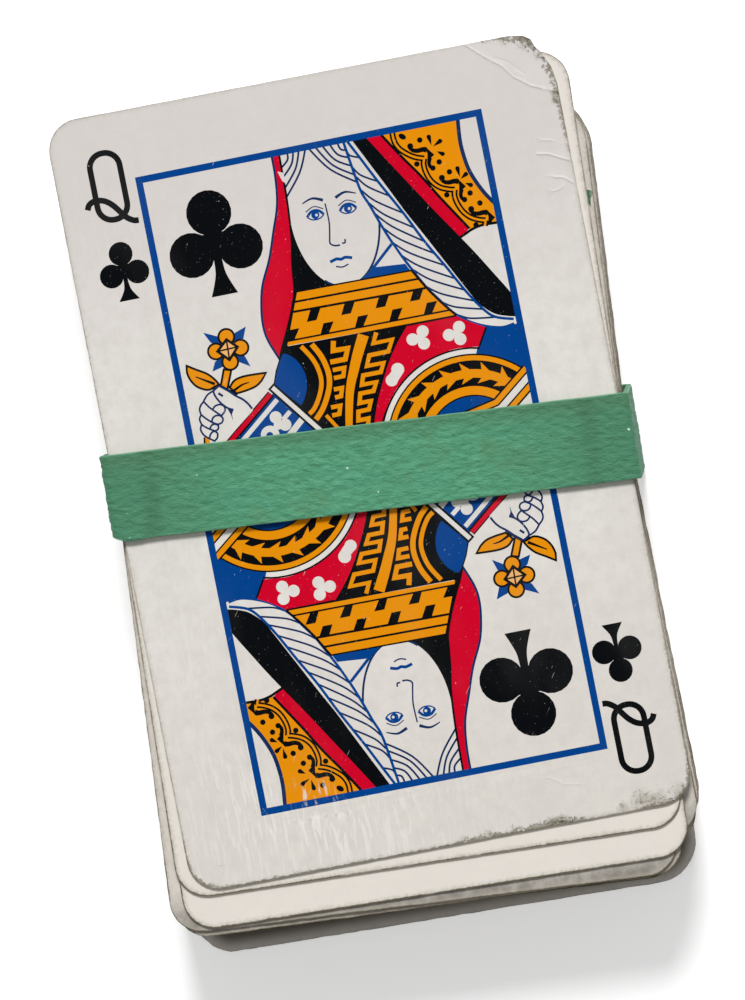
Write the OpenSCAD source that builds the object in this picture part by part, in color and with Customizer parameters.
// A worn deck of 52 narrow playing cards, face up, held together by one wide flat rubber band.
// The origin is the middle of the band's lower run, on the surface that the deck lies on.
// +Y runs along the deck, +X across it and +Z up through the cards.

/* [Card] */
// Width of a card
card_w = 57; // [50:0.5:64]
// Length of a card
card_l = 87.3; // [80:0.1:100]
// Thickness of a card
card_t = 0.27; // [0.2:0.01:0.4]
// Radius of a card's corners
corner_r = 3.6; // [2:0.1:6]
// Radius that wear has left on the deck's right-hand corners
worn_corner_r = 7; // [4:0.5:10]
// Air left between two worn cards
card_gap = 0.03; // [0.02:0.01:0.1]

/* [Rubber band] */
// Width of the band
band_w = 9.7; // [4:0.1:20]
// Thickness of the rubber
band_t = 0.65; // [0.5:0.05:2]
// Inner radius where the band bends round the deck's edges
bend_r = 0.3; // [0.1:0.05:0.4]
// Clearance between the band and the cards that it goes round
band_fit = 0.12; // [0.12:0.01:0.4]

/* [Top three cards] */
// Turn of the top card about the middle of the band, in degrees
top_skew = 4; // [-5:0.1:5]
// How far the top card stands lengthwise from the middle of the band
top_slip = 0.6; // [-8:0.1:8]
// Turn of the second card
second_skew = 1.9; // [-5:0.1:5]
// Lengthwise place of the second card
second_slip = -0.9; // [-8:0.1:8]
// Turn of the third card
third_skew = 2.2; // [-5:0.1:5]
// Lengthwise place of the third card
third_slip = -4.4; // [-8:0.1:8]

/* [Rest of the deck] */
// Mean turn of most of the cards below
pack_skew = 0.5; // [-3:0.1:3]
// Most that a card's turn departs from the mean
skew_spread = 0.5; // [0:0.05:1]
// Lengthwise place of most of the cards below
pack_slip = -5.6; // [-8:0.1:8]
// Most that a card's lengthwise place departs from its neighbours'
slip_spread = 0.5; // [0:0.05:2]
// Most that a card lies to one side of the middle
sway_spread = 0.08; // [0:0.01:0.2]
// Turn of the furthest stray card
stray_skew = 4.7; // [-5:0.1:5]
// Lengthwise place of the highest stray cards
stray_slip = -3.8; // [-8:0.1:8]
// How much nearer the middle the lowest stray cards lie
stray_return = 3.6; // [0:0.1:8]
// Turn of the lowest cards
foot_skew = 2.2; // [-5:0.1:5]
// Lengthwise place of the lowest cards
foot_slip = -7.8; // [-9:0.1:9]

/* [Hidden] */
$fn = 48;

suits = ["spades", "hearts", "clubs", "diamonds"];
ranks = ["ace", "two", "three", "four", "five", "six", "seven",
         "eight", "nine", "ten", "jack", "queen", "king"];
rank_count = len(ranks);
card_count = len(suits) * rank_count;

// The deck's order counts down from the top card in steps that share no factor with the count.
top_card = 2 * rank_count + 11;
deal_step = 19;
function dealt(depth) = (top_card + depth * deal_step) % card_count;
function card_name(depth) =
    str(ranks[dealt(depth) % rank_count], "_of_", suits[floor(dealt(depth) / rank_count)]);

// An even scatter from -1 to 1, by the golden ratio
golden = 0.618034;
function scatter(depth, start) = 2 * ((depth * golden + start) % 1) - 1;

// The lowest cards have slid out furthest.
foot_count = 3;
function foot(depth) = depth >= card_count - foot_count;

// Stray cards come in clumps of three in every nine, each turned by its own share of stray_skew.
clump = 9;
clump_start = 5;
clump_end = 7;
least_stray = 0.6;
function stray(depth) =
    depth > 2 && !foot(depth) && depth % clump >= clump_start && depth % clump <= clump_end;
function stray_share(depth) = 1 - (1 - least_stray) * (1 + scatter(depth, 0.2)) / 2;

function skew(depth) =
    depth == 0 ? top_skew :
    depth == 1 ? second_skew :
    depth == 2 ? third_skew :
    stray(depth) ? stray_skew * stray_share(depth) :
    (foot(depth) ? foot_skew : pack_skew) + skew_spread * scatter(depth, 0.5);
function lie(depth) =
    foot(depth) ? foot_slip :
    stray(depth) ? stray_slip + stray_return * depth / (card_count - 1) :
    pack_slip;
function slip(depth) =
    depth == 0 ? top_slip :
    depth == 1 ? second_slip :
    depth == 2 ? third_slip :
    lie(depth) + slip_spread * scatter(depth, 0.8);
function sway(depth) = depth < 3 ? 0 : sway_spread * scatter(depth, 0.35);

// Heights, from the surface that the band's lower run lies on
pitch = card_t + card_gap;
deck_h = card_count * pitch - card_gap;
deck_z = band_t + band_fit;
function card_z(depth) = deck_z + (card_count - 1 - depth) * pitch;

// The band is wrapped at the middle of the cards' turns, and its sides touch the ones that stand out most.
skews = [for (depth = [0 : card_count - 1]) skew(depth)];
wrap_skew = (min(skews) + max(skews)) / 2;
wrap_reach = (band_w / 2 + card_w * abs(sin(wrap_skew))) / cos(wrap_skew);
function lean(depth) = skew(depth) - wrap_skew;
function side_edge(depth, side) =
    (sway(depth) + side * (card_w / 2 + wrap_reach * abs(sin(lean(depth))))) / cos(lean(depth));
loop_left = min([for (depth = [0 : card_count - 1]) side_edge(depth, -1)]) - band_fit;
loop_right = max([for (depth = [0 : card_count - 1]) side_edge(depth, 1)]) + band_fit;
loop_w = loop_right - loop_left;
loop_h = deck_h + 2 * band_fit;

card_names = [for (depth = [0 : card_count - 1]) card_name(depth)];

// A rectangle with its lower left corner at 0,0 and true arcs at its corners
module round_rectangle(w, h, r) {
    translate([r, 0])
        square([w - 2 * r, h]);
    translate([0, r])
        square([w, h - 2 * r]);
    for (x = [r, w - r], y = [r, h - r])
        translate([x, y])
            circle(r);
}

// The corner beyond a larger arc, worn off the right side of a w by h rectangle at one end
module worn_corner(w, h, r, upper) {
    translate([w - r, upper ? h - r : r])
        difference() {
            translate([0, upper ? 0 : -2 * r])
                square(2 * r);
            circle(r);
        }
}

// Only the second card has kept its upper right corner, and only the top three their lower one.
module card_outline(depth) {
    difference() {
        round_rectangle(card_w, card_l, corner_r);
        if (depth != 1)
            worn_corner(card_w, card_l, worn_corner_r, true);
        if (depth > 2)
            worn_corner(card_w, card_l, worn_corner_r, false);
    }
}

// One card, in its place in the deck
module card(depth) {
    color("ivory")
        translate([0, 0, card_z(depth)])
            rotate([0, 0, skew(depth)])
                translate([sway(depth) - card_w / 2, slip(depth) - card_l / 2, 0])
                    linear_extrude(card_t)
                        card_outline(depth);
}

// The band's section through its loop: x across the deck, y up
module loop_section() {
    difference() {
        translate([loop_left - band_t, 0])
            round_rectangle(loop_w + 2 * band_t, loop_h + 2 * band_t, bend_r + band_t);
        translate([loop_left, band_t])
            round_rectangle(loop_w, loop_h, bend_r);
    }
}

// The closed loop, with edges square across the deck and sides that follow the cards
module rubber_band() {
    color("seagreen")
        intersection() {
            rotate([90, 0, wrap_skew])
                linear_extrude(4 * wrap_reach, center = true)
                    loop_section();
            translate([-card_w, -band_w / 2, -band_t])
                cube([2 * card_w, band_w, loop_h + 4 * band_t]);
        }
}

for (depth = [0 : card_count - 1])
    card(depth);
rubber_band();
